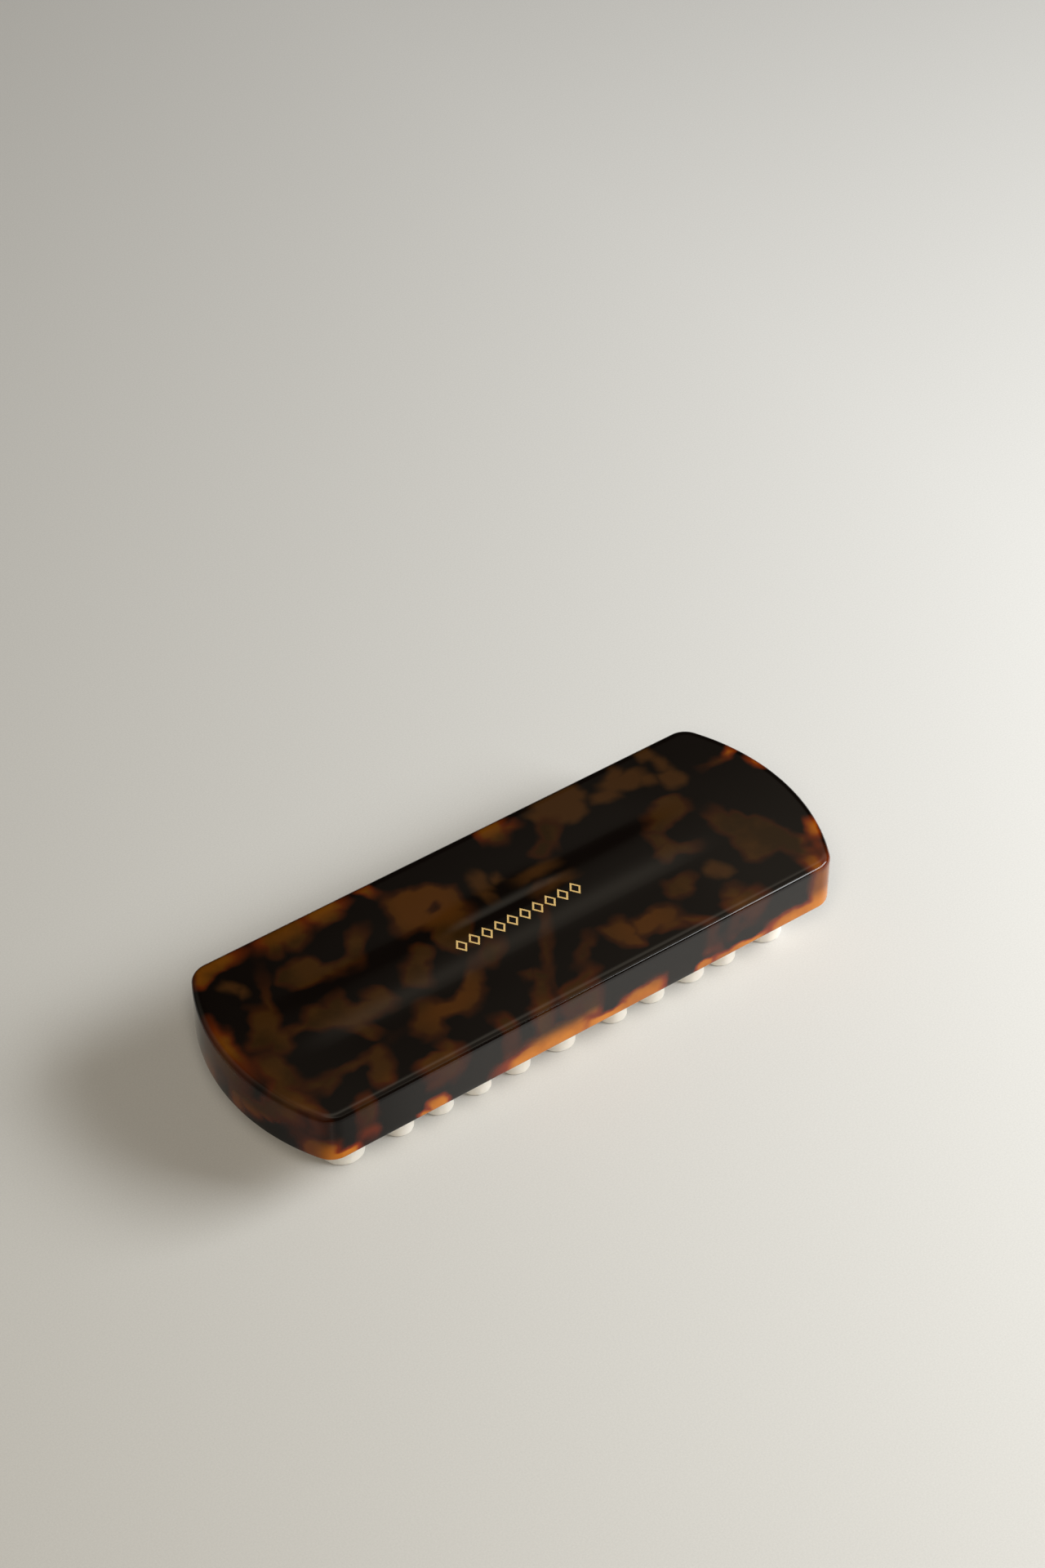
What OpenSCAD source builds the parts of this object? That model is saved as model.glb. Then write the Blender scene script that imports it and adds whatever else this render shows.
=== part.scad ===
// Suede brush: a polished block handle with folded crepe ribbons standing on edge beneath it.
// The brush stands on the feet of its ribbons at z = 0. Length runs along X, width along Y.
// The origin is at the middle of the footprint.

/* [Handle] */
// Overall length of the handle block
handle_length = 150; // [120:1:200]
// Overall width of the handle block
handle_width = 55; // [45:1:80]
// Thickness of the handle block
handle_thickness = 13; // [9:0.5:24]
// How far each end bows out beyond a straight cut
end_bow = 8.2; // [4:0.1:14]
// Plan radius of the four upright corners
corner_radius = 5.5; // [3:0.1:9]
// Radius polished on the top edge
top_edge_radius = 1.6; // [0.5:0.1:3]
// Radius polished on the bottom edge
bottom_edge_radius = 0.8; // [0.3:0.1:2]

/* [Pocket] */
// Width of the rim left round the pocket in the underside
rim_width = 6; // [4:0.1:9]
// Depth of the pocket
pocket_depth = 5; // [4:0.1:7]
// Radius of the cutter that mills the pocket's corners
pocket_corner_radius = 3; // [1.5:0.1:6]

/* [Backing] */
// Thickness of the board that carries the ribbons
board_thickness = 2; // [1:0.1:2.5]
// Gap left round the edge of the board
board_clearance = 0.3; // [0.1:0.05:1]
// Thickness of the glue film over the board
film_thickness = 0.2; // [0.1:0.05:0.4]
// Depth of the rubber cement poured round the roots of the ribbons
bed_thickness = 1; // [0.5:0.1:1.3]

/* [Crepe ribbons] */
// How far the ribbons stand out of the handle's underside
ribbon_projection = 13; // [8:0.5:20]
// Thickness of the crepe
ribbon_thickness = 2.1; // [1.4:0.1:2.8]
// Gap between neighbouring rows
row_gap = 0.2; // [0.1:0.1:2]
// Gap between the outer rows and the pocket's long walls
row_margin = 1.5; // [0.5:0.1:4]
// Gap between the ends of the rows and the pocket's corners
end_margin = 2.6; // [1:0.1:8]
// Outside width of an ordinary fold, measured along the row
fold_width = 7.3; // [6.5:0.1:8]

/* [Foil mark] */
// Length of the stamped gold chain on top
foil_length = 34; // [20:1:60]
// Height of its lozenges, across the handle
foil_height = 4.2; // [2:0.1:6]
// Width of its lines
foil_line = 0.45; // [0.2:0.05:0.8]
// Number of lozenges in the chain
foil_lozenges = 10; // [3:1:15]
// How far the chain lies from the middle of the top, across the handle
foil_offset = -1; // [-12:0.5:12]
// Depth to which the mark is stamped
foil_depth = 0.1; // [0.06:0.02:0.3]

/* [Hidden] */
$fn = 96;
row_count = 4;
foil_thickness = foil_depth / 2;
// The polished edges leave the block's corners at least this round
sharpest_corner = 0.1;

// Distances between folds along a row, and how much wider than ordinary each fold is.
// The ribbons are folded by hand, so both are uneven.
fold_spacing = [13.5, 10.5, 10, 10.5, 12, 14.5, 10.5, 11, 9, 13];
fold_extra = [3.1, 0, 0, 0, 0, 1.4, 0, 0, 0.8, 0, 1.2];

// Heights
underside_z = ribbon_projection;
top_z = underside_z + handle_thickness;
pocket_z = underside_z + pocket_depth;
board_z = pocket_z - film_thickness - board_thickness;
bed_z = board_z - bed_thickness;

// The bowed ends are arcs of this radius about (+-bow_centre_x, 0)
bow_radius = (pow(end_bow, 2) + pow(handle_width / 2, 2)) / (2 * end_bow);
bow_centre_x = handle_length / 2 - bow_radius;

// Centre of a rounded corner of the outline that lies inset inside the handle's edge
function corner_y(inset, radius) = handle_width / 2 - inset - radius;
function corner_x(inset, radius) =
    bow_centre_x + sqrt(pow(bow_radius - inset - radius, 2) - pow(corner_y(inset, radius), 2));
// Angle at which the corner's arc runs into the bowed end's arc
function bow_angle(inset, radius) =
    asin(corner_y(inset, radius) / (bow_radius - inset - radius));

// The outline, anticlockwise from the lower end of the right-hand bow
bow_steps = 28;
corner_steps = 10;
function arc(centre, radius, angles) =
    [for (t = angles) centre + radius * [cos(t), sin(t)]];
function right_half(inset, radius) =
    let (a = bow_angle(inset, radius),
         x = corner_x(inset, radius),
         y = corner_y(inset, radius),
         corner_step = (90 - a) / corner_steps)
    concat(
        arc([x, -y], radius, [for (k = [0:corner_steps - 1]) -90 + k * corner_step]),
        arc([bow_centre_x, 0], bow_radius - inset,
            [for (k = [0:bow_steps]) -a + 2 * a * k / bow_steps]),
        arc([x, y], radius, [for (k = [1:corner_steps]) a + k * corner_step]));
function outline_points(inset, radius) =
    let (right = right_half(inset, radius)) concat(right, -1 * right);

// Neighbouring stretches of a ribbon meet on whole microns
function micron(value) = round(value * 1000) / 1000;

// Rows of ribbon
row_pitch = micron((handle_width - 2 * (rim_width + row_margin) + row_gap) / row_count);
row_depth = row_pitch - row_gap;
row_half_length =
    corner_x(rim_width, pocket_corner_radius) + pocket_corner_radius - end_margin;

// Folds of a row. Crests face one side of the row and troughs the other, and the straight
// legs between them run square across it. Radii are those of the middle of the crepe.
crepe_half = ribbon_thickness / 2;
function total(values, count) =
    count == 0 ? 0 : total(values, count - 1) + values[(count - 1) % len(values)];
function loose_radius(i) =
    (fold_width + fold_extra[i % len(fold_extra)]) / 2 - crepe_half;
function loose_trough(i) =
    (fold_spacing[i % len(fold_spacing)] - loose_radius(i) - loose_radius(i + 1)) / 2;
deepest_fold = max([for (i = [0:len(fold_spacing) - 1])
    loose_trough(i) + max(loose_radius(i), loose_radius(i + 1))]);
// Folds are drawn in or opened a little so that a whole number of them fills the row,
// and never lie deeper than the row
largest_scale = min(1.05, (row_depth - ribbon_thickness) / deepest_fold);
function scale_for(spaces) = 2 * (row_half_length - crepe_half)
    / (total(fold_spacing, spaces) + loose_radius(0) + loose_radius(spaces));
function spaces_needed(spaces) =
    scale_for(spaces) <= largest_scale ? spaces : spaces_needed(spaces + 1);
space_count = spaces_needed(1);
fold_scale = scale_for(space_count);
function crest_radius(i) = micron(fold_scale * loose_radius(i));
function crest_x(i) = micron(-row_half_length + crepe_half
    + fold_scale * (loose_radius(0) + total(fold_spacing, i)));
function falling_leg_x(i) = crest_x(i) + crest_radius(i);
function rising_leg_x(i) = crest_x(i) - crest_radius(i);
function trough_x(i) = (falling_leg_x(i) + rising_leg_x(i + 1)) / 2;
function trough_radius(i) = (rising_leg_x(i + 1) - falling_leg_x(i)) / 2;
// Distance of the fold centres from the row's crest side
function crest_y(i) = crest_radius(i) + crepe_half;
function trough_y(i) = row_depth - trough_radius(i) - crepe_half;

// Plan of anything that follows the handle's outline at a distance inside it
module outline(inset, radius) {
    polygon(outline_points(inset, radius));
}

// The block with its bottom and top edges polished round: a stack of outlines, joined by
// strips and closed by the underside and the top
module block() {
    levels = concat(
        [for (t = [90:-22.5:0])
            [bottom_edge_radius * (1 - cos(t)), underside_z + bottom_edge_radius * (1 - sin(t))]],
        [for (t = [0:15:90])
            [top_edge_radius * (1 - cos(t)), top_z - top_edge_radius * (1 - sin(t))]]);
    rings = [for (level = levels)
        [for (point = outline_points(level[0], max(corner_radius - level[0], sharpest_corner)))
            [point[0], point[1], level[1]]]];
    n = len(rings[0]);
    last = len(rings) - 1;
    polyhedron(
        points = [for (ring = rings) each ring],
        faces = concat(
            [[for (i = [0:n - 1]) i]],
            [for (k = [0:last - 1]) for (i = [0:n - 1]) let (next = (i + 1) % n)
                [k * n + i, (k + 1) * n + i, (k + 1) * n + next, k * n + next]],
            [[for (i = [n - 1:-1:0]) last * n + i]]));
}

// Half a ring of crepe above the X axis
module fold(radius) {
    outer = radius + crepe_half;
    intersection() {
        difference() {
            circle(r = outer);
            circle(r = radius - crepe_half);
        }
        translate([-2 * outer, 0]) square([4 * outer, 2 * outer]);
    }
}

// Straight crepe across the row
module leg(x, from_y, to_y) {
    translate([x - crepe_half, from_y]) square([ribbon_thickness, to_y - from_y]);
}

// Plan of a ribbon, with its crests towards -Y and the row's middle on the X axis
module ribbon_plan() {
    translate([0, -row_depth / 2]) {
        for (i = [0:space_count])
            translate([crest_x(i), crest_y(i)]) mirror([0, 1]) fold(crest_radius(i));
        for (i = [0:space_count - 1]) {
            translate([trough_x(i), trough_y(i)]) fold(trough_radius(i));
            leg(falling_leg_x(i), crest_y(i), trough_y(i));
            leg(rising_leg_x(i + 1), crest_y(i + 1), trough_y(i));
        }
        leg(rising_leg_x(0), crest_y(0), row_depth);
        leg(falling_leg_x(space_count), crest_y(space_count), row_depth);
    }
}

// Every second ribbon is turned end for end
module placed_ribbon_plan(row) {
    y = (row - (row_count + 1) / 2) * row_pitch;
    translate([0, y]) rotate(row % 2 == 0 ? 180 : 0) ribbon_plan();
}

module crepe_ribbon(row) {
    color("ivory") linear_extrude(board_z) placed_ribbon_plan(row);
}

// Cement fills the pocket round the ribbons' roots
module cement_bed() {
    color("wheat") translate([0, 0, bed_z]) linear_extrude(bed_thickness) difference() {
        outline(rim_width + board_clearance, pocket_corner_radius);
        for (row = [1:row_count]) placed_ribbon_plan(row);
    }
}

module backing_board() {
    color("burlywood") translate([0, 0, board_z]) linear_extrude(board_thickness)
        outline(rim_width + board_clearance, pocket_corner_radius);
}

module glue_film() {
    color("gainsboro") translate([0, 0, pocket_z - film_thickness])
        linear_extrude(film_thickness)
            outline(rim_width + board_clearance, pocket_corner_radius);
}

// A chain of open lozenges, a plain traditional border
module foil_plan() {
    pitch = foil_length / foil_lozenges;
    half_long = (pitch - foil_line) / 2;
    half_high = foil_height / 2;
    centre_to_side = half_long * half_high / norm([half_long, half_high]);
    inner = 1 - foil_line / centre_to_side;
    for (i = [0:foil_lozenges - 1])
        translate([(i - (foil_lozenges - 1) / 2) * pitch, foil_offset]) difference() {
            lozenge(half_long, half_high);
            lozenge(half_long * inner, half_high * inner);
        }
}

module lozenge(half_long, half_high) {
    polygon([[-half_long, 0], [0, -half_high], [half_long, 0], [0, half_high]]);
}

module foil_mark() {
    color("goldenrod") translate([0, 0, top_z - foil_depth])
        linear_extrude(foil_thickness) foil_plan();
}

// The block with the pocket milled into its underside and the mark stamped in its top
module handle() {
    cut_past = 1;
    color([0.16, 0.09, 0.05]) difference() {
        block();
        translate([0, 0, underside_z - cut_past])
            linear_extrude(pocket_depth + cut_past)
                outline(rim_width, pocket_corner_radius);
        translate([0, 0, top_z - foil_depth])
            linear_extrude(foil_depth + cut_past) foil_plan();
    }
}

handle();
foil_mark();
glue_film();
backing_board();
cement_bed();
crepe_ribbon(1);  // crepe_ribbon_1
crepe_ribbon(2);  // crepe_ribbon_2
crepe_ribbon(3);  // crepe_ribbon_3
crepe_ribbon(4);  // crepe_ribbon_4
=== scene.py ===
"""Looks of the suede brush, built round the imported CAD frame, and the studio it stands in."""

import math

import bpy
import numpy as np
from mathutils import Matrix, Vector, noise


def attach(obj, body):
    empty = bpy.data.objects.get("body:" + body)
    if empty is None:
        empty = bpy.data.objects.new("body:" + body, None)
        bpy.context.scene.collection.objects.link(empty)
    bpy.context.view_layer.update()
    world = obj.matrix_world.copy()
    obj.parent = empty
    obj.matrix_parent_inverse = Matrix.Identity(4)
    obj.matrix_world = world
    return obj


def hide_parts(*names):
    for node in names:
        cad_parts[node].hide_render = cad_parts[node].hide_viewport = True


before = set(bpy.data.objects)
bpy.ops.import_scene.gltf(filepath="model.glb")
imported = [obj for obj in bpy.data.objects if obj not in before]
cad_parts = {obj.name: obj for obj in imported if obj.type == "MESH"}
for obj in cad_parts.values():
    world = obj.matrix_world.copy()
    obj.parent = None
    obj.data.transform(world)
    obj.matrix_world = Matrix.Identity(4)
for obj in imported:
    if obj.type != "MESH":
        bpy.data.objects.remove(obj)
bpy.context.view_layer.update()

# Sizes shared with the CAD model, in millimetres
MM = 0.001
LENGTH = 150
WIDTH = 55
UNDERSIDE = 13
TOP = 26
END_BOW = 8.2
CORNER = 5.5
TOP_EDGE = 1.6
BOTTOM_EDGE = 0.8
RIM = 6
POCKET_CORNER = 3
POCKET_CEILING = 18
BOARD_UNDERSIDE = 15.8
CREPE = 2.1
ROW_COUNT = 4
ROW_GAP = 0.2
ROW_MARGIN = 1.5
END_MARGIN = 2.6
FOLD_WIDTH = 7.3
FOLD_SPACING = [13.5, 10.5, 10, 10.5, 12, 14.5, 10.5, 11, 9, 13]
FOLD_EXTRA = [3.1, 0, 0, 0, 0, 1.4, 0, 0, 0.8, 0, 1.2]
FOIL_LENGTH = 34
FOIL_HEIGHT = 4.2
FOIL_LINE = 0.45
FOIL_LOZENGES = 10
FOIL_OFFSET = -1
FOIL_RECESS = 25.9

BOW_RADIUS = (END_BOW**2 + (WIDTH / 2) ** 2) / (2 * END_BOW)
BOW_CENTRE = LENGTH / 2 - BOW_RADIUS
ROW_PITCH = round((WIDTH - 2 * (RIM + ROW_MARGIN) + ROW_GAP) / ROW_COUNT, 3)
ROW_DEPTH = ROW_PITCH - ROW_GAP

# Finer shape of the polished block, in millimetres
SHOULDER = 2.1
EDGE_SQUARENESS = 0.74
POCKET_LIP = 0.3
LIP_STEP = 0.1
RIM_INSETS = (4.5, 3, 1.8)
INNERMOST_RING = 27
SMALLEST_CORNER = 0.3
STAMP_CLEARANCE = 1

# How finely the block is meshed
CORNER_STEPS = 12
BOW_STEPS = 40
SIDE_STEPS = 90
OUTLINE_POINTS = 2 * (2 * CORNER_STEPS + BOW_STEPS + SIDE_STEPS)
BOTTOM_EDGE_STEPS = 8
WALL_STEPS = 8
TOP_EDGE_STEPS = 36
TOP_RING_GAP = 0.3
TOP_RING_PITCH = 0.4
SHARP_ANGLE = math.radians(35)

# Unevenness that hand polishing left in the top and its edge, in millimetres
CROWN_DIP = 0.01
FLAT_HALF_WIDTH = 27
DISH_CENTRE = -6
DISH_HALF_LENGTH = 48
DISH_END_FADE = 4
DISH_RAMP = 18
NEAR_DISH = 0.16
NEAR_DISH_START = -6
NEAR_DISH_FADE = 1.25
FAR_DISH = 0.14
FAR_DISH_START = 6.5
FAR_DISH_FADE = 1.0
FAR_DISH_SHIFT = 1.8
STAMPED_HALF_LENGTH = 14.5
GROOVE_DIP = 0.085
GROOVE_PLACE = 3.3
GROOVE_HALF_WIDTH = 1.6
RIPPLE_DEPTH = 0.012
RIPPLE_RATE = 20
RIPPLE_CENTRE = 8
RIPPLE_HALF_LENGTH = 34
RIPPLE_END_FADE = 5

# Surface of the crepe, in millimetres; the foot has heights and how far the faces are tucked in there
CREPE_FOOT = [(0, 0.35), (0.06, 0.17), (0.18, 0.06), (0.38, 0)]
CREPE_WALL_START = 0.8
CREPE_LEVELS = 26
FOLD_STEPS = 24
CREPE_STEP = 0.45
CRINKLE_DEPTH = 0.14
LUMP_SCALE = (0.35, 0.35, 0.22)
WRINKLE_SCALE = (0.9, 0.9, 0.5)
WRINKLE_SHIFT = (31, 7, 3)
FACE_SHIFT = 5
ROW_SHIFT = 40


# Meshes

def arc(centre, radius, start, end, steps):
    """Points on a circle from one angle to another, in radians, both ends included."""
    angles = np.linspace(start, end, steps + 1)
    return np.array(centre) + radius * np.column_stack([np.cos(angles), np.sin(angles)])


def outline(inset, corner):
    """The handle's plan, that far inside its edge, anticlockwise from the lower right corner."""
    corner_y = WIDTH / 2 - inset - corner
    reach = BOW_RADIUS - inset - corner
    corner_x = BOW_CENTRE + math.sqrt(reach**2 - corner_y**2)
    turn = math.asin(corner_y / reach)
    quarter = math.pi / 2
    edge_y = WIDTH / 2 - inset
    side_x = np.linspace(corner_x, -corner_x, SIDE_STEPS + 1)[1:-1]
    half = np.vstack([
        arc((corner_x, -corner_y), corner, -quarter, -turn, CORNER_STEPS)[:-1],
        arc((BOW_CENTRE, 0), BOW_RADIUS - inset, -turn, turn, BOW_STEPS),
        arc((corner_x, corner_y), corner, turn, quarter, CORNER_STEPS)[1:],
        np.column_stack([side_x, np.full(len(side_x), edge_y)]),
    ])
    return np.vstack([half, -half])


def smooth(mesh):
    """Shades a mesh smooth and keeps its steep edges sharp."""
    mesh.shade_smooth()
    mesh.set_sharp_from_angle(angle=SHARP_ANGLE)


def mesh_object(name, points, faces, material):
    """A smooth-shaded object from points in millimetres."""
    mesh = bpy.data.meshes.new(name)
    mesh.from_pydata([tuple(p) for p in np.asarray(points) * MM], [], faces)
    mesh.validate()
    smooth(mesh)
    mesh.materials.append(material)
    made = bpy.data.objects.new(name, mesh)
    bpy.context.collection.objects.link(made)
    return made


def skin(rings):
    """Points of closed rings of equal size, and the faces between each ring and the next."""
    n = len(rings[0])
    faces = [[k * n + i, k * n + (i + 1) % n, (k + 1) * n + (i + 1) % n, (k + 1) * n + i]
             for k in range(len(rings) - 1) for i in range(n)]
    return np.vstack(rings), faces


def capped_skin(rings):
    """The skin through closed rings, with a flat face over the first and the last of them."""
    points, faces = skin(rings)
    n = len(rings[0])
    faces.append(list(range(n - 1, -1, -1)))
    faces.append([len(points) - n + i for i in range(n)])
    return points, faces


def step(value, centre, width):
    """Smooth rise from 0 to 1 as a value passes a centre."""
    return 1 / (1 + np.exp((centre - value) / width))


def top_dip(x, y):
    """How far hand polishing has sunk the top below its nominal height."""
    crown = CROWN_DIP * (1 - np.cos(np.pi * y / FLAT_HALF_WIDTH))
    length_fade = step(DISH_HALF_LENGTH - np.abs(x - DISH_CENTRE), 0, DISH_END_FADE)
    stamped = np.exp(-(x / STAMPED_HALF_LENGTH) ** 6)
    near = NEAR_DISH * step(NEAR_DISH_START - y, 0, NEAR_DISH_FADE)
    near = near * np.clip((y + FLAT_HALF_WIDTH) / DISH_RAMP, 0, 1)
    groove = GROOVE_DIP * stamped * np.exp(-((y - GROOVE_PLACE) / GROOVE_HALF_WIDTH) ** 2)
    far = FAR_DISH * step(y, FAR_DISH_START + FAR_DISH_SHIFT * stamped, FAR_DISH_FADE)
    far = far * np.clip((FLAT_HALF_WIDTH - y) / DISH_RAMP, 0, 1)
    return crown + (near + groove + far) * length_fade


def edge_ripple(x, turn):
    """Faint facets left along the middle of the rounded top edge."""
    wave = RIPPLE_DEPTH * (1 - np.cos(np.radians(turn) * RIPPLE_RATE)) / 2
    return wave * step(RIPPLE_HALF_LENGTH - np.abs(x - RIPPLE_CENTRE), 0, RIPPLE_END_FADE)


def cos_and_sin(degrees, power=1):
    """Cosine and sine of an angle from 0 to 90 degrees; a power below 1 squares up the quarter circle."""
    return math.cos(math.radians(degrees)) ** power, math.sin(math.radians(degrees)) ** power


def lower_levels():
    """Inset, corner radius and height of each ring from the pocket's ceiling to below the top edge."""
    levels = [(RIM, POCKET_CORNER, POCKET_CEILING), (RIM, POCKET_CORNER, UNDERSIDE + POCKET_LIP),
              (RIM - LIP_STEP, POCKET_CORNER, UNDERSIDE + LIP_STEP),
              (RIM - POCKET_LIP, POCKET_CORNER, UNDERSIDE)]
    levels += [(inset, max(CORNER - inset, POCKET_CORNER), UNDERSIDE) for inset in RIM_INSETS]
    for turn in np.linspace(90, 0, BOTTOM_EDGE_STEPS + 1):
        c, s = cos_and_sin(turn)
        inset = BOTTOM_EDGE * (1 - c)
        levels.append((inset, CORNER - inset, UNDERSIDE + BOTTOM_EDGE * (1 - s)))
    wall = np.linspace(UNDERSIDE + BOTTOM_EDGE, TOP - TOP_EDGE, WALL_STEPS + 1)[1:-1]
    return levels + [(0, CORNER, z) for z in wall]


def handle_rings():
    """Rings of the handle from the pocket's ceiling, out under the rim and up to the top."""
    rings = [np.column_stack([outline(inset, corner), np.full(OUTLINE_POINTS, float(z))])
             for inset, corner, z in lower_levels()]
    for turn in np.linspace(0, 90, TOP_EDGE_STEPS + 1):
        c, s = cos_and_sin(turn, EDGE_SQUARENESS)
        inset = SHOULDER * (1 - c)
        plan = outline(inset, CORNER - inset)
        sunk = s**2 * top_dip(*plan.T) + edge_ripple(plan[:, 0], turn)
        rings.append(np.column_stack([plan, TOP - TOP_EDGE * (1 - s) - sunk]))
    for inset in np.arange(SHOULDER + TOP_RING_GAP, INNERMOST_RING, TOP_RING_PITCH):
        plan = outline(inset, max(CORNER - inset, SMALLEST_CORNER))
        rings.append(np.column_stack([plan, TOP - top_dip(*plan.T)]))
    return rings


def lozenge_cutter():
    """Points and faces of the chain of lozenges, as a stamp reaching above the handle's top."""
    pitch = FOIL_LENGTH / FOIL_LOZENGES
    long, high = (pitch - FOIL_LINE) / 2, FOIL_HEIGHT / 2
    inner = 1 - FOIL_LINE / (long * high / math.hypot(long, high))
    shape = np.array([(-long, 0), (0, -high), (long, 0), (0, high)])
    n = len(shape)
    points, faces = [], []
    for i in range(FOIL_LOZENGES):
        centre = np.array([(i - (FOIL_LOZENGES - 1) / 2) * pitch, FOIL_OFFSET])
        first = len(points)
        for z in (FOIL_RECESS, TOP + STAMP_CLEARANCE):
            for scale in (1, inner):
                points += [(*(centre + scale * p), z) for p in shape]
        for k in range(n):
            outer = [first + k, first + (k + 1) % n]
            a, b = outer
            c, d = (i + n for i in outer)
            faces += [[a, c, d, b], [a + 2 * n, b + 2 * n, d + 2 * n, c + 2 * n],
                      [a, b, b + 2 * n, a + 2 * n], [c, c + 2 * n, d + 2 * n, d]]
    return points, faces


def make_handle(material):
    """The polished block with its pocket, and the mark stamped in its top."""
    blank = mesh_object("polished_handle", *capped_skin(handle_rings()), material)
    stamp = mesh_object("stamp", *lozenge_cutter(), material)
    cut = blank.modifiers.new("stamp", "BOOLEAN")
    cut.operation = "DIFFERENCE"
    cut.solver = "EXACT"
    cut.object = stamp
    depsgraph = bpy.context.evaluated_depsgraph_get()
    stamped = bpy.data.meshes.new_from_object(blank.evaluated_get(depsgraph))
    blank.modifiers.clear()
    blank.data = stamped
    smooth(stamped)
    bpy.data.objects.remove(stamp)
    return blank


# Crepe ribbons

def row_folds():
    """Middle line of the crepe in one row, its crests towards -Y, evenly stepped."""
    pocket_y = WIDTH / 2 - RIM - POCKET_CORNER
    half_length = (BOW_CENTRE + math.sqrt((BOW_RADIUS - RIM - POCKET_CORNER) ** 2 - pocket_y**2)
                   + POCKET_CORNER - END_MARGIN)
    loose = [(FOLD_WIDTH + extra - CREPE) / 2 for extra in FOLD_EXTRA]
    scale = 2 * (half_length - CREPE / 2) / (sum(FOLD_SPACING) + loose[0] + loose[-1])
    radii = [scale * r for r in loose]
    starts = np.concatenate([[0], np.cumsum(FOLD_SPACING)])
    crests = -half_length + CREPE / 2 + scale * (loose[0] + starts)
    back = ROW_DEPTH / 2
    line = [(crests[0] - radii[0], back)]
    for i, (x, r) in enumerate(zip(crests, radii)):
        line += list(arc((x, -back + CREPE / 2 + r), r, math.pi, 2 * math.pi, FOLD_STEPS))
        if i + 1 < len(crests):
            left, right = x + r, crests[i + 1] - radii[i + 1]
            r_back = (right - left) / 2
            centre = ((left + right) / 2, back - CREPE / 2 - r_back)
            line += list(arc(centre, r_back, math.pi, 0, FOLD_STEPS))
    line.append((crests[-1] + radii[-1], back))
    line = np.array(line)
    along = np.concatenate([[0], np.cumsum(np.linalg.norm(np.diff(line, axis=0), axis=1))])
    even = np.arange(0, along[-1], CREPE_STEP)
    even[-1] = along[-1]
    return np.column_stack([np.interp(even, along, line[:, k]) for k in (0, 1)])


def ribbon_line(row):
    """Middle line of one ribbon where it stands. Every second one is turned end for end."""
    line = row_folds()
    if row % 2 == 0:
        line = -line
    return line + (0, (row - (ROW_COUNT + 1) / 2) * ROW_PITCH)


def crinkle(point):
    """Depth of the crepe's crinkles at a point of its surface, 0 to 1."""
    lumps = noise.noise(Vector([p * s for p, s in zip(point, LUMP_SCALE)]))
    wrinkle_point = Vector([p * s for p, s in zip(point, WRINKLE_SCALE)])
    wrinkles = noise.noise(wrinkle_point + Vector(WRINKLE_SHIFT))
    return max(0.0, min(1.0, 0.5 + 0.5 * lumps + 0.35 * wrinkles))


def ribbon_side(line, normal, sign, z, tuck, row):
    """One crinkled face of a ribbon at one height."""
    side = []
    for p, n in zip(line, normal):
        depth = CRINKLE_DEPTH * crinkle((*(p + FACE_SHIFT * sign * n), z + ROW_SHIFT * row))
        q = p + sign * n * (CREPE / 2 - tuck - depth)
        side.append((q[0], q[1], z))
    return side


def make_ribbon(row, material):
    """One ribbon: two crinkled faces joined round a softened foot, top and ends."""
    line = ribbon_line(row)
    tangent = np.gradient(line, axis=0)
    tangent /= np.linalg.norm(tangent, axis=1)[:, None]
    normal = np.column_stack([-tangent[:, 1], tangent[:, 0]])
    levels = CREPE_FOOT + [(z, 0) for z in np.linspace(CREPE_WALL_START, BOARD_UNDERSIDE, CREPE_LEVELS)]
    rings = []
    for z, tuck in levels:
        left, right = (ribbon_side(line, normal, sign, z, tuck, row) for sign in (1, -1))
        rings.append(np.array(left + right[::-1]))
    points, faces = skin(rings)
    n = len(line)
    last = len(points) - 2 * n
    for i in range(n - 1):
        j = 2 * n - 1 - i
        faces.append([i, j, j - 1, i + 1])
        faces.append([last + i, last + i + 1, last + j - 1, last + j])
    faces = [f[::-1] for f in faces]
    return mesh_object(f"crepe_{row}", points, faces, material)


# Shader nodes

def feed(tree, socket, value):
    """Links an output to a socket, or sets the socket to a constant."""
    if isinstance(value, bpy.types.NodeSocket):
        tree.links.new(value, socket)
    else:
        socket.default_value = value


def add(tree, kind, inputs, **settings):
    """A new node of that kind with its inputs fed, by name or number."""
    made = tree.nodes.new("ShaderNode" + kind)
    for name, value in settings.items():
        setattr(made, name, value)
    for key, value in inputs.items():
        feed(tree, made.inputs[key], value)
    return made


def calc(tree, operation, *values):
    """The result of a Math node."""
    return add(tree, "Math", dict(enumerate(values)), operation=operation).outputs[0]


def inverse(tree, mask):
    """One minus a mask."""
    return calc(tree, "SUBTRACT", 1.0, mask)


def vector_calc(tree, operation, *values):
    """The vector or number that a Vector Math node gives."""
    made = add(tree, "VectorMath", dict(enumerate(values)), operation=operation)
    return made.outputs["Value" if operation in ("LENGTH", "DOT_PRODUCT") else "Vector"]


def remap(tree, value, low, high, to_low=0.0, to_high=1.0, smooth=True):
    """A value's way from low to high, as a way from to_low to to_high that stops at both."""
    kind = "SMOOTHSTEP" if smooth else "LINEAR"
    inputs = {0: value, 1: low, 2: high, 3: to_low, 4: to_high}
    return add(tree, "MapRange", inputs, interpolation_type=kind).outputs[0]


def blend(tree, factor, first, second):
    """A colour between two."""
    made = add(tree, "Mix", {0: factor, 6: first, 7: second}, data_type="RGBA")
    return made.outputs[2]


def noise_at(tree, place, scale, detail=2.0, output="Fac"):
    """Noise with a scale per millimetre."""
    return add(tree, "TexNoise", {"Vector": place, "Scale": scale, "Detail": detail}).outputs[output]


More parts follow.
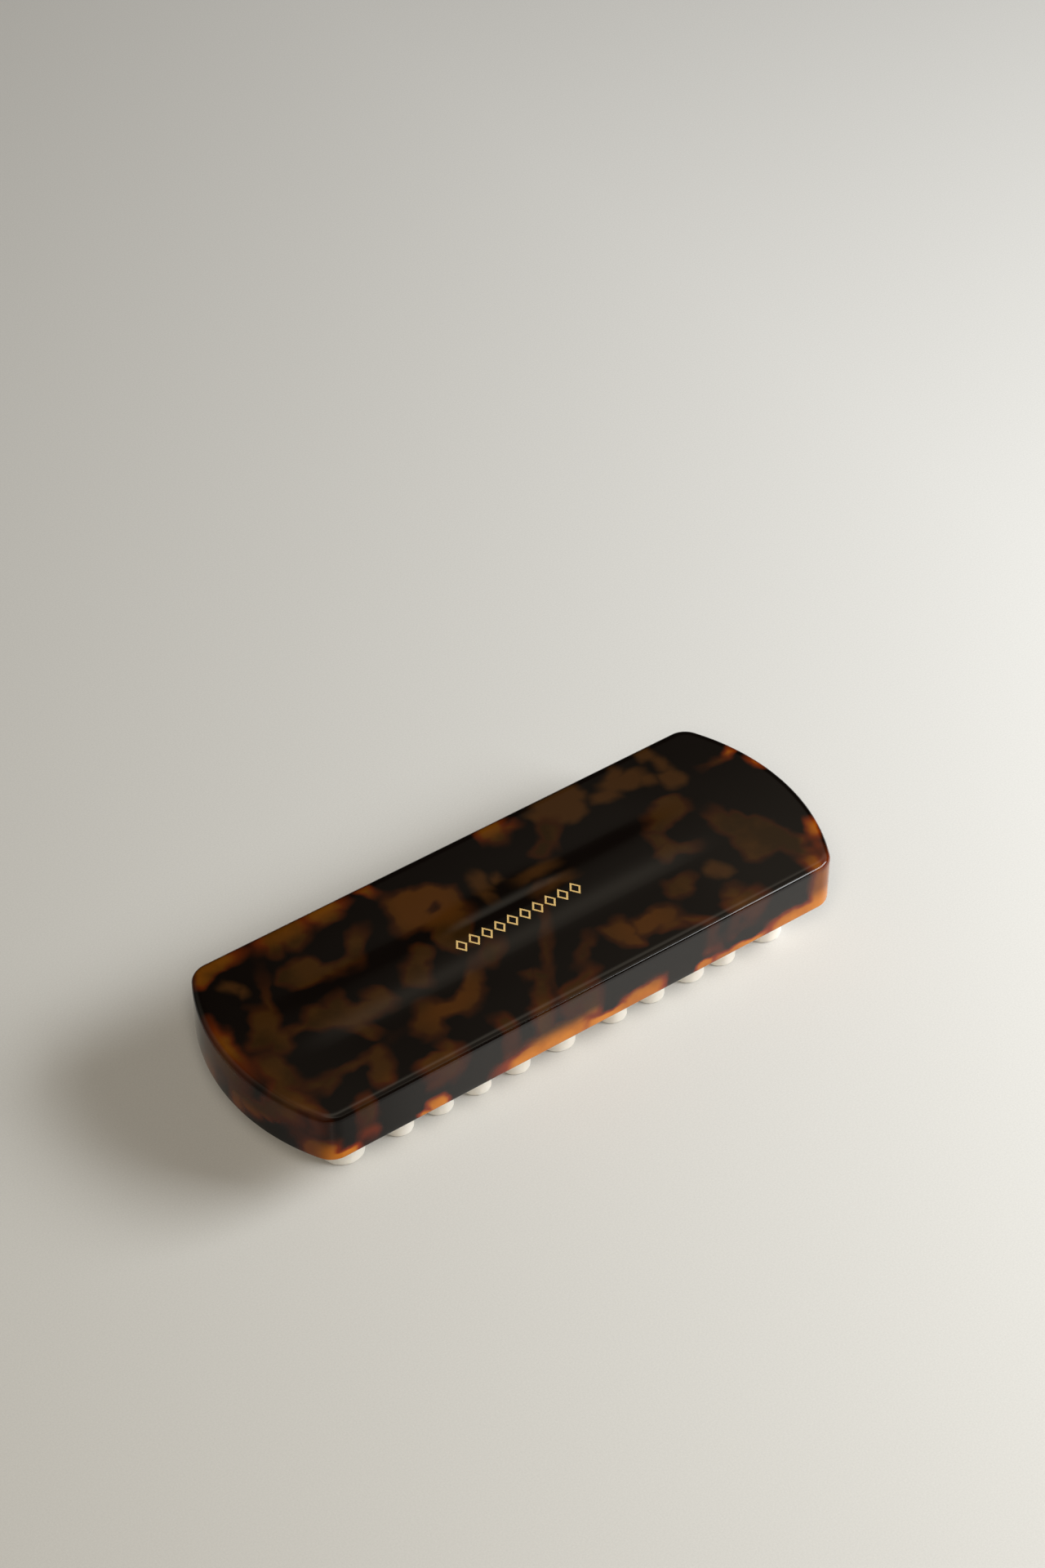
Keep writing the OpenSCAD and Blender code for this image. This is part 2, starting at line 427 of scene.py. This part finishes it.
def bump(tree, height, distance, strength):
    """A normal that follows a height."""
    return add(tree, "Bump", {"Height": height, "Distance": distance, "Strength": strength}).outputs[0]


def srgb(red, green, blue):
    """A colour as it is seen on screen, 0 to 255, made linear for a shader."""
    return (*[((c / 255 + 0.055) / 1.055) ** 2.4 if c > 10 else c / 255 / 12.92
              for c in (red, green, blue)], 1.0)


def new_material(name):
    """A material with one Principled shader, its node tree, and its place in millimetres."""
    material = bpy.data.materials.new(name)
    material.use_nodes = True
    tree = material.node_tree
    tree.nodes.clear()
    shader = tree.nodes.new("ShaderNodeBsdfPrincipled")
    output = tree.nodes.new("ShaderNodeOutputMaterial")
    tree.links.new(shader.outputs["BSDF"], output.inputs["Surface"])
    place = tree.nodes.new("ShaderNodeTexCoord").outputs["Object"]
    return material, tree, shader, vector_calc(tree, "MULTIPLY", place, (1 / MM,) * 3)


# Tortoiseshell

# Amber patches on the top: place x, y, half length, half width, turn
TOP_PATCHES = [
    (-62.5, 25.5, 6, 2.2, 8), (-66, 23.3, 2.5, 1.6, 30),
    (-45, 25, 5.5, 2.6, 0), (-44, 22, 2.6, 2.6, 35), (-49, 23, 1.6, 3, -15),
    (-34, 25.5, 4.6, 2, 0), (-34.3, 23.2, 2.8, 1.6, 0),
    (-48, 12.3, 4.6, 3.8, 0), (-51.5, 13, 2.2, 1.8, 45), (-43.5, 10.3, 3.2, 1.7, -30),
    (-38.5, 9.3, 3, 1.2, 10), (-33.8, 12.5, 4.3, 1.5, 52),
    (-63.3, 3.2, 5.6, 3, 66), (-66.3, 1.5, 2.6, 2, 60), (-63, -2, 3.4, 2, 60), (-59, 8.5, 3.6, 0.6, 66),
    (-73, 2.5, 6, 1.2, 92), (-72, 5, 1.6, 1, 60),
    (-68.2, -9, 5.5, 3, 88), (-70.5, -16, 4.5, 2.6, -70), (-68.8, -20.5, 4, 1.3, -80),
    (-63.5, -16.5, 3, 1.1, -25), (-61, -18.3, 2, 1.3, 20), (-55, -16.6, 5.5, 0.9, 5),
    (-48.5, -17, 2.6, 1.9, 20), (-49.3, -20.5, 3.5, 1.9, 60), (-51, -23, 2, 1.8, -20),
    (-58.5, -28, 1.6, 1.6, 0),
    (-56.5, -0.8, 3.5, 0.9, -10), (-51.5, -1.5, 4, 3, -30), (-47.5, -3.5, 4.5, 3.2, -35),
    (-47, 0, 2, 2.5, 0), (-41.5, -5, 4.5, 2.4, 10), (-38.5, -3.5, 2.2, 3.2, 20), (-46, -9.3, 1.6, 3, 25),
    (-28.3, -2.5, 3, 3.4, -35), (-24.8, 1.3, 3.3, 2.2, 40),
    (-33, -14.5, 5, 3, 45), (-34.5, -17.8, 2.4, 1.8, 0), (-28.5, -14.5, 3.5, 2.4, -10),
    (-24, -14.8, 3.6, 2.6, 25), (-19.5, -11.5, 5, 1.8, 48), (-38, -26, 4.5, 2.2, 0),
    (-35, -23.5, 1.3, 1.8, 20),
    (-19.3, 14.5, 4, 6, -12), (-15, 15.2, 6, 4.8, -20), (-10.5, 12.5, 4, 4.2, -12),
    (-13.5, 8.5, 5.5, 3, -10), (-21.5, 11, 2.5, 2, 0), (-14.5, 3.5, 4, 4.3, -25),
    (-16.5, 1.3, 2.2, 2, 45), (-22.7, 25, 1, 2.2, 20),
    (11, 25, 3.2, 2.2, 0), (11.2, 22.5, 2, 1.7, 45), (15, 23.2, 1, 0.6, 0),
    (17, 13.7, 2.8, 1.6, 25), (21.2, 16.8, 3.4, 1.9, 52), (-11.3, -6.2, 3.6, 2, 35),
    (0, -11.5, 7.2, 0.6, 58), (-6.5, -18.3, 1.5, 1.5, 40), (-8.3, -16.5, 0.9, 1, 0),
    (-9, -21.5, 3.6, 1.3, 55), (-11, -25.5, 2.6, 1.7, 65), (4, -19, 1.8, 0.8, 45), (6.5, -17, 2.4, 0.7, 35),
    (-3, -26, 3.6, 2.3, 5), (1, -24, 2.6, 1, 25), (-21, -25.8, 1.6, 2.4, 0),
    (15.5, -17.5, 3, 3.2, 10), (16, -21, 2.4, 2, -30), (21.5, -19, 3.5, 2.6, -5), (26, -19.3, 3.2, 2.6, -25),
    (26, -22.5, 2.6, 1.5, -25), (30.5, -24, 3.5, 0.9, -45),
    (46.8, 6.5, 4.6, 3.2, 15), (49, 8, 3, 2.8, 0), (42.5, 4.3, 2.3, 1.8, 30),
    (39.5, 0.5, 1.8, 2.6, -10), (39, -3.5, 2.6, 2, 20), (42.5, -4.5, 2.3, 1.2, -25),
    (34.3, -14, 2.4, 2.6, -10), (36, -13, 2.3, 1.9, 20),
    (55.5, -4, 2.2, 4.5, 8), (57.3, -7, 3.6, 4.6, 15), (59.5, -9.5, 4, 3.4, 20), (57, -13, 4.6, 4.3, 0),
    (61.5, -13, 3, 5, 20), (63.5, -18, 2.6, 2.4, 45), (63.3, -21, 1.2, 1.8, 30),
    (63.3, -25.3, 1.6, 2.6, 10), (70, -16.5, 2.6, 1.2, 55),
    (66, 13.3, 1.6, 0.5, -5), (70, 14.3, 1.6, 0.8, 30), (73, 8.5, 1.2, 0.5, -75),
    (43.3, -25.5, 4.4, 2.2, 0), (43, -22.5, 2, 1.4, 30),
]
# Fainter patches that lie deeper under the top
DEEP_PATCHES = [
    (-63, 17.5, 1.2, 1.6, 30), (-61.8, 15, 0.8, 1.2, 0), (-0.8, 13, 1.8, 3.2, 0), (-1.5, 9, 0.9, 2, 0),
    (3, 12, 1, 1.2, 0), (11.5, 8.3, 4.5, 1.4, 0), (12, 3, 4.5, 1.4, 0), (27.5, 22, 5.5, 4.6, 0),
    (32, 24, 2.8, 3.2, 0), (22.5, 22, 2, 3, 20), (29.5, 18, 2.6, 1.6, 0), (44.5, 20.5, 5.5, 2.8, -5),
    (38.5, 19, 3, 1.8, -15), (44, 23.5, 2.5, 1.6, 40), (49.5, 17.8, 2, 1.4, -20), (54, 25, 2, 2, 0),
    (55.3, 20.5, 1.1, 3.5, 5), (54.5, 15, 2.4, 2.6, 0), (44, -14.3, 2.2, 1.9, 40),
    (45.3, -15.8, 1.9, 1.7, 10),
]
# Amber patches on the sides: place x, y, z, half sizes along, across and up, turn
SIDE_PATCHES = [
    (-68, -25, 15.5, 3.5, 4, 3.4, -30), (-64, -27, 14.5, 3, 4, 1.6, 0), (-57.5, -27.5, 23, 1.4, 2, 4, 0),
    (-40, -27.5, 14, 2.2, 3, 3, 0), (-43, -27.5, 13.5, 2, 3, 1.2, 0),
    (-11, -27.5, 14, 11, 4, 3.2, 0), (-9, -27.5, 18, 7.5, 3, 2, 0), (-12, -27.5, 22, 2, 2, 4, 0),
    (0, -27.5, 21, 2.4, 2, 4, 0), (6, -27.5, 13.5, 7, 4, 2.4, 0), (14.5, -27.5, 14, 5.8, 4, 4, 0),
    (31.5, -27.5, 14, 2.4, 3, 1.2, 0), (42, -27.5, 13.5, 7.5, 3, 1.6, 0),
    (58, -27.5, 13.5, 7.5, 4, 3.6, 0), (66, -25, 17, 5, 5, 8, 20),
    (-69.5, -25, 14.5, 4, 4.5, 3, -60), (-72.1, -17.1, 23.6, 2, 3.6, 2.2, 20),
    (-73.2, -13.3, 21.8, 2, 2.3, 2.2, 15), (-73.8, -10.9, 19.6, 2, 2.5, 1.8, 12),
    (-74.5, -7, 18.4, 2, 3.2, 2.4, 8), (-75, -2.5, 16.8, 2, 2.3, 3.8, 0),
    (-74.9, 1, 23.4, 2, 6.5, 2.8, -2), (-74.2, 9, 15.8, 2, 2.6, 2, -10), (-74.3, 8.6, 20.5, 2, 2, 3, -10),
    (68, 20, 14, 5, 4, 3, -60), (74.5, 4, 14, 2, 7, 2.4, 0), (52, 27.5, 14, 8, 4, 2.6, 0),
    (24, 27.5, 14, 6, 4, 4, 0), (5, 27.5, 13.5, 9, 4, 2, 0), (-20, 27.5, 14, 8, 4, 3.4, 0),
    (-52, 27.5, 14, 9, 4, 3, 0), (-74, 12, 14, 2, 5, 2.4, 10),
]
# Where the amber is clearer away from the edges, and where a patch has a dark spot
CLEAR_AREAS = [(-15, 14, 8, 7, -15), (-27, -14, 9, 4, 20), (21, -19, 8, 4, 0)]
DARK_SPOTS = [(-13.2, 12.2, 1.5, 0.9, 20)]
PATCH_DEPTH = 5
PATCH_GROWTH = 0.1
PATCH_MELT = 0.9
FAR_OUTSIDE = 50.0

# Noise that makes the patches ragged: scale, detail and reach in millimetres
COARSE_WARP = (0.16, 1.0, 2.4)
FINE_WARP = (0.34, 0.8, 1.6)


def chunk(tree, place, centre, half_sizes, turn):
    """Distance in millimetres outside a block with well rounded corners, negative inside it."""
    turned = add(tree, "VectorRotate", {"Vector": place, "Center": centre, "Angle": math.radians(-turn)},
                 rotation_type="Z_AXIS").outputs[0]
    shrink = [1 / s for s in half_sizes]
    local = vector_calc(tree, "MULTIPLY_ADD", turned, shrink, [-c * s for c, s in zip(centre, shrink)])
    reach = calc(tree, "SQRT", vector_calc(tree, "LENGTH", vector_calc(tree, "MULTIPLY", local, local)))
    size = min(half_sizes[:2])
    return calc(tree, "MULTIPLY_ADD", reach, size, -size - PATCH_GROWTH)


def patch_field(tree, place, patches):
    """Distance outside a group of patches that run together where they touch."""
    field = FAR_OUTSIDE
    for patch in patches:
        field = calc(tree, "SMOOTH_MIN", field, chunk(tree, place, *patch), PATCH_MELT)
    return field


def on_top(rows):
    """Centre, half sizes and turn of patches in the top face."""
    return [((x, y, TOP), (a, b, PATCH_DEPTH), turn) for x, y, a, b, turn in rows]


def warp(tree, place, scale, detail, reach):
    """A shift by coloured noise, which moves a point by up to half the reach each way."""
    colour = noise_at(tree, place, scale, detail, "Color")
    return vector_calc(tree, "MULTIPLY_ADD", colour, (reach,) * 3, (-reach / 2,) * 3)


def patch_masks(tree, place):
    """Masks of the ground round the patches, of their fringes, and of the faint deep patches."""
    warped = vector_calc(tree, "ADD", place, warp(tree, place, *COARSE_WARP))
    warped = vector_calc(tree, "ADD", warped, warp(tree, place, *FINE_WARP))
    sides = [((x, y, z), (a, b, c), turn) for x, y, z, a, b, c, turn in SIDE_PATCHES]
    field = patch_field(tree, warped, on_top(TOP_PATCHES) + sides)
    spot = patch_field(tree, warped, on_top(DARK_SPOTS))
    field = calc(tree, "MAXIMUM", field, calc(tree, "SUBTRACT", -0.3, spot))
    deep_field = patch_field(tree, warped, on_top(DEEP_PATCHES))

    # Edges are crisp in places and blurred where a patch lies deeper
    softness = remap(tree, noise_at(tree, place, 0.12, 1.0), 0.35, 0.65, 0.9, 2.0)
    outside = remap(tree, field, calc(tree, "MULTIPLY", softness, -0.3), softness)
    fringe_part = remap(tree, field, -1.1, 0.1)
    faint = remap(tree, deep_field, 1.2, -1.2, 0.0, 0.85)
    return outside, fringe_part, faint


def inset_from_outline(tree, x, y):
    """Distance in from the outline of the handle's plan, in millimetres."""
    across = calc(tree, "SUBTRACT", WIDTH / 2, calc(tree, "ABSOLUTE", y))
    past_centre = calc(tree, "SUBTRACT", calc(tree, "ABSOLUTE", x), BOW_CENTRE)
    bow_place = add(tree, "CombineXYZ", {0: past_centre, 1: y, 2: 0.0}).outputs[0]
    in_from_bow = calc(tree, "SUBTRACT", BOW_RADIUS, vector_calc(tree, "LENGTH", bow_place))
    return calc(tree, "MINIMUM", across, in_from_bow)


def tortoiseshell():
    """Polished acetate: amber patches with red-brown fringes in a nearly black brown."""
    material, tree, shader, place = new_material("tortoiseshell_acetate")
    outside, fringe_part, faint = patch_masks(tree, place)
    x, y, z = add(tree, "SeparateXYZ", {0: place}).outputs
    inset = inset_from_outline(tree, x, y)

    # Painted light: the amber is painted brighter where light would shine through the rim, the upper edges
    # and the right end, and painted darker in shade at the left end and on part of the top
    low = remap(tree, z, 20.0, 14.5)
    lit_end = remap(tree, x, 50.0, 71.0)
    shaded_end = remap(tree, x, -66.0, -69.5)
    on_top_face = remap(tree, z, 24.6, 25.6, smooth=False)
    shaded_top = calc(tree, "MULTIPLY", on_top_face, remap(tree, y, 10.0, -15.0, 0.0, 0.65))
    shaded_top = calc(tree, "MULTIPLY", shaded_top, inverse(tree, lit_end))
    painted_edge_glow = calc(tree, "MULTIPLY", remap(tree, inset, 7.0, 0.5), inverse(tree, shaded_top))
    cloudy = remap(tree, noise_at(tree, place, 0.09, 4.0), 0.35, 0.65)
    clear = remap(tree, patch_field(tree, place, on_top(CLEAR_AREAS)), 3.0, -3.0)

    amber_dull = blend(tree, cloudy, srgb(36, 22, 6), srgb(52, 31, 9))
    amber_deep = blend(tree, clear, amber_dull, srgb(65, 36, 9))
    # Painted glow of light through the edges, brighter still at the lit right end
    amber_painted_edge_glow = blend(tree, cloudy, srgb(74, 41, 6), srgb(98, 55, 9))
    amber_painted_edge_glow = blend(tree, lit_end, amber_painted_edge_glow, srgb(145, 76, 12))
    # Painted glow of light through the lower rim, with painted shade on the rim at the left end
    amber_painted_rim_glow = blend(tree, cloudy, srgb(172, 95, 16), srgb(202, 121, 29))
    amber_painted_rim_glow = blend(tree, shaded_end, amber_painted_rim_glow, srgb(104, 54, 16))
    amber = blend(tree, low, blend(tree, painted_edge_glow, amber_deep, amber_painted_edge_glow), amber_painted_rim_glow)
    # Fringe tones with the same painted glow at the edges and the rim, and painted shade at the left end
    fringe_painted_edge_glow = blend(tree, lit_end, srgb(84, 32, 7), srgb(104, 38, 8))
    fringe_top = blend(tree, painted_edge_glow, srgb(42, 20, 7), fringe_painted_edge_glow)
    fringe_painted_rim_glow = blend(tree, shaded_end, srgb(136, 46, 12), srgb(66, 26, 12))
    fringe = blend(tree, low, fringe_top, fringe_painted_rim_glow)
    ground_colour = srgb(12, 8, 6)
    ground = blend(tree, faint, ground_colour, srgb(58, 35, 14))
    shell = blend(tree, outside, blend(tree, fringe_part, amber, fringe), ground)

    # Painted shade: the upper part of the walls is painted in the dark ground colour, since little light
    # comes through there, and less so at the ends
    wall = remap(tree, inset, 1.5, 0.2)
    painted_shade_upper_wall = calc(tree, "MULTIPLY", wall, remap(tree, z, 17.0, 20.0, 0.0, 0.6))
    ends = calc(tree, "MAXIMUM", lit_end, remap(tree, x, -62.0, -69.0, 0.0, 0.3))
    painted_shade_upper_wall = calc(tree, "MULTIPLY", painted_shade_upper_wall, inverse(tree, ends))
    feed(tree, shader.inputs["Base Color"], blend(tree, painted_shade_upper_wall, shell, ground_colour))

    # The polish is a little dull on the walls towards the left end, and slightly smeared all over
    shader.inputs["IOR"].default_value = 1.45
    dull_wall = calc(tree, "MULTIPLY", wall, remap(tree, x, -25.0, -70.0))
    feed(tree, shader.inputs["Specular IOR Level"], remap(tree, dull_wall, 0.0, 1.0, 0.5, 0.14, smooth=False))
    smear = noise_at(tree, place, 0.08, 3.0)
    feed(tree, shader.inputs["Roughness"], remap(tree, smear, 0.3, 0.7, 0.06, 0.09))
    return material


# Other materials

def crepe_rubber():
    """Natural crepe: off-white, slightly waxy, finely crinkled."""
    material, tree, shader, place = new_material("natural_crepe")
    tone = noise_at(tree, place, 0.25, 3.0)
    feed(tree, shader.inputs["Base Color"], blend(tree, tone, srgb(234, 229, 219), srgb(248, 243, 235)))
    grain = noise_at(tree, place, 1.4, 5.0)
    feed(tree, shader.inputs["Normal"], bump(tree, grain, 0.00012, 0.5))
    feed(tree, shader.inputs["Roughness"], remap(tree, grain, 0.3, 0.7, 0.45, 0.6))
    shader.inputs["Subsurface Weight"].default_value = 0.15
    shader.inputs["Subsurface Radius"].default_value = (0.0015, 0.0012, 0.0009)
    shader.inputs["Subsurface Scale"].default_value = 1.0
    return material


def gold_foil():
    """Stamped foil: pale gold, slightly uneven."""
    material, tree, shader, place = new_material("stamped_gold_foil")
    tone = noise_at(tree, place, 1.1, 2.0)
    feed(tree, shader.inputs["Base Color"], blend(tree, tone, srgb(226, 184, 108), srgb(246, 216, 152)))
    shader.inputs["Metallic"].default_value = 0.4
    feed(tree, shader.inputs["Roughness"], remap(tree, tone, 0.3, 0.7, 0.38, 0.5))
    return material


def rubber_cement():
    """Cement poured round the roots: straw-coloured and softly lumpy."""
    material, tree, shader, place = new_material("rubber_cement")
    tone = noise_at(tree, place, 0.2, 3.0)
    feed(tree, shader.inputs["Base Color"], blend(tree, tone, srgb(196, 178, 138), srgb(222, 208, 176)))
    feed(tree, shader.inputs["Roughness"], remap(tree, tone, 0.3, 0.7, 0.3, 0.5))
    feed(tree, shader.inputs["Normal"], bump(tree, noise_at(tree, place, 0.5, 3.0), 0.0003, 0.6))
    return material


def backing_board():
    """Hardboard: brown fibres pressed flat."""
    material, tree, shader, place = new_material("backing_hardboard")
    stretched = add(tree, "Mapping", {"Vector": place, "Scale": (0.3, 1.2, 1.2)}).outputs[0]
    fibre = noise_at(tree, stretched, 1.0, 6.0)
    feed(tree, shader.inputs["Base Color"], blend(tree, fibre, srgb(120, 84, 52), srgb(172, 130, 88)))
    feed(tree, shader.inputs["Roughness"], remap(tree, fibre, 0.3, 0.7, 0.6, 0.8))
    return material


def glue():
    """Dried contact adhesive: yellowish and rather glossy."""
    material, tree, shader, place = new_material("glue_film")
    tone = noise_at(tree, place, 0.15, 2.0)
    feed(tree, shader.inputs["Base Color"], blend(tree, tone, srgb(190, 176, 140), srgb(214, 202, 170)))
    feed(tree, shader.inputs["Roughness"], remap(tree, tone, 0.3, 0.7, 0.2, 0.35))
    return material


def paper_floor():
    """Pale grey paper with a faint tooth, painted lighter towards the right where more light falls."""
    material, tree, shader, place = new_material("studio_paper")
    tooth = noise_at(tree, place, 2.6, 3.0)
    x = add(tree, "SeparateXYZ", {0: place}).outputs[0]
    # Painted light: the tone is graded from left to right in place of the lamps' falloff
    painted_light_to_the_right = remap(tree, x, -200.0, 200.0, smooth=False)
    left_tone = blend(tree, tooth, srgb(181, 180, 176), srgb(197, 196, 192))
    right_tone = blend(tree, tooth, srgb(208, 208, 207), srgb(226, 226, 225))
    feed(tree, shader.inputs["Base Color"], blend(tree, painted_light_to_the_right, left_tone, right_tone))
    shader.inputs["Roughness"].default_value = 0.85
    return material


# The object

acetate = tortoiseshell()
crepe = crepe_rubber()
node_materials = {"foil_mark": gold_foil(), "glue_film": glue(), "backing_board": backing_board(),
                  "cement_bed": rubber_cement()}
for name, material in node_materials.items():
    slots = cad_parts[name].data.materials
    for k in range(len(slots)):
        slots[k] = material

handle = make_handle(acetate)
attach(handle, "root")
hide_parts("handle")
for row in range(1, ROW_COUNT + 1):
    ribbon = make_ribbon(row, crepe)
    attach(ribbon, "root")
    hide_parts(f"crepe_ribbon_{row}")

# The studio, in metres

# The floor is dropped a little to stay clear of the crepe's feet
FLOOR_HALF_SIZE = 4
FLOOR_DROP = 0.00005

# Light of the room and the backdrop, and where the reflected ceiling and screen are
ROOM_COLOUR = (1.0, 0.9, 0.72, 1.0)
ROOM_STRENGTH = 0.08
BACKDROP_COLOUR = (0.94, 0.92, 0.89, 1.0)
BACKDROP_STRENGTH = 0.85
CEILING_SLOPE = (0.5, 0, 1)
SCREEN_DIRECTION = (-0.745, 0.298, 0.596)

# The camera, whose focal length and sensor width are in millimetres
CAMERA_PLACE = (-0.34195, -0.47853, 0.61253)
CAMERA_TARGET = (0.04182, 0.05587, 0)
CAMERA_RANGE = (0.01, 20)
CAMERA_LENS = 86.91
CAMERA_SENSOR = 36

half = FLOOR_HALF_SIZE
floor_mesh = bpy.data.meshes.new("floor")
floor_mesh.from_pydata([(-half, -half, 0), (half, -half, 0), (half, half, 0), (-half, half, 0)], [],
                       [(0, 1, 2, 3)])
floor_mesh.materials.append(paper_floor())
floor = bpy.data.objects.new("floor", floor_mesh)
floor.location.z = -FLOOR_DROP
bpy.context.collection.objects.link(floor)


def aimed(made, place, target):
    """Puts a lamp or camera in its place, turned to its target."""
    made.location = place
    made.rotation_mode = "QUATERNION"
    made.rotation_quaternion = (Vector(target) - Vector(place)).to_track_quat("-Z", "Y")
    bpy.context.collection.objects.link(made)


def softbox(name, place, target, size, power, colour, mirrored):
    """A rectangular lamp. One that isn't mirrored leaves no reflection in the polish."""
    lamp = bpy.data.lights.new(name, "AREA")
    lamp.shape = "RECTANGLE"
    lamp.size, lamp.size_y = size
    lamp.energy = power
    lamp.color = colour
    box = bpy.data.objects.new(name, lamp)
    box.visible_glossy = mirrored
    aimed(box, place, target)


def studio_light():
    """Dim room with a pale backdrop; the polish mirrors a soft ceiling and a screen beyond the left end."""
    world = bpy.data.worlds.new("studio")
    bpy.context.scene.world = world
    world.use_nodes = True
    tree = world.node_tree
    direction = tree.nodes.new("ShaderNodeTexCoord").outputs["Generated"]
    height = vector_calc(tree, "DOT_PRODUCT", direction, CEILING_SLOPE)
    strip = remap(tree, height, 0.883, 1.013, 0.0, 0.8)
    above_strip = remap(tree, height, 1.023, 1.093, 0.0, 0.55)
    ceiling = calc(tree, "SUBTRACT", strip, above_strip)
    facing_screen = vector_calc(tree, "DOT_PRODUCT", direction, SCREEN_DIRECTION)
    screen = remap(tree, facing_screen, 0.5, 0.85, 0.0, 0.4)
    background = tree.nodes["Background"]
    rays = tree.nodes.new("ShaderNodeLightPath").outputs
    seen, mirrored = rays["Is Camera Ray"], rays["Is Glossy Ray"]
    feed(tree, background.inputs["Color"], blend(tree, seen, ROOM_COLOUR, BACKDROP_COLOUR))
    room = remap(tree, seen, 0.0, 1.0, ROOM_STRENGTH, BACKDROP_STRENGTH)
    room = calc(tree, "MULTIPLY", room, inverse(tree, mirrored))
    reflected = calc(tree, "MULTIPLY", mirrored, calc(tree, "ADD", ceiling, screen))
    feed(tree, background.inputs["Strength"], calc(tree, "ADD", room, reflected))


# Two lamps give most of the light and the soft shadow, and a third adds the glints along the edges
softbox("key", (0.52, -0.37, 0.5), (0.05, 0, 0), (0.56, 0.36), 3.9, (0.94, 0.96, 0.96), mirrored=False)
softbox("fill", (-0.59, -0.76, 1.15), (0, 0, 0), (0.5, 0.5), 11.0, (1.0, 0.91, 0.78), mirrored=False)
softbox("glint", (0.535, -0.39, 0.45), (0.05, 0, 0), (0.54, 0.24), 4.2, (0.95, 0.97, 0.97), mirrored=True)
studio_light()

camera_data = bpy.data.cameras.new("camera")
camera_data.lens = CAMERA_LENS
camera_data.sensor_width = CAMERA_SENSOR
camera_data.clip_start, camera_data.clip_end = CAMERA_RANGE
camera = bpy.data.objects.new("camera", camera_data)
aimed(camera, CAMERA_PLACE, CAMERA_TARGET)
bpy.context.scene.camera = camera

bpy.context.scene.view_settings.view_transform = "Standard"
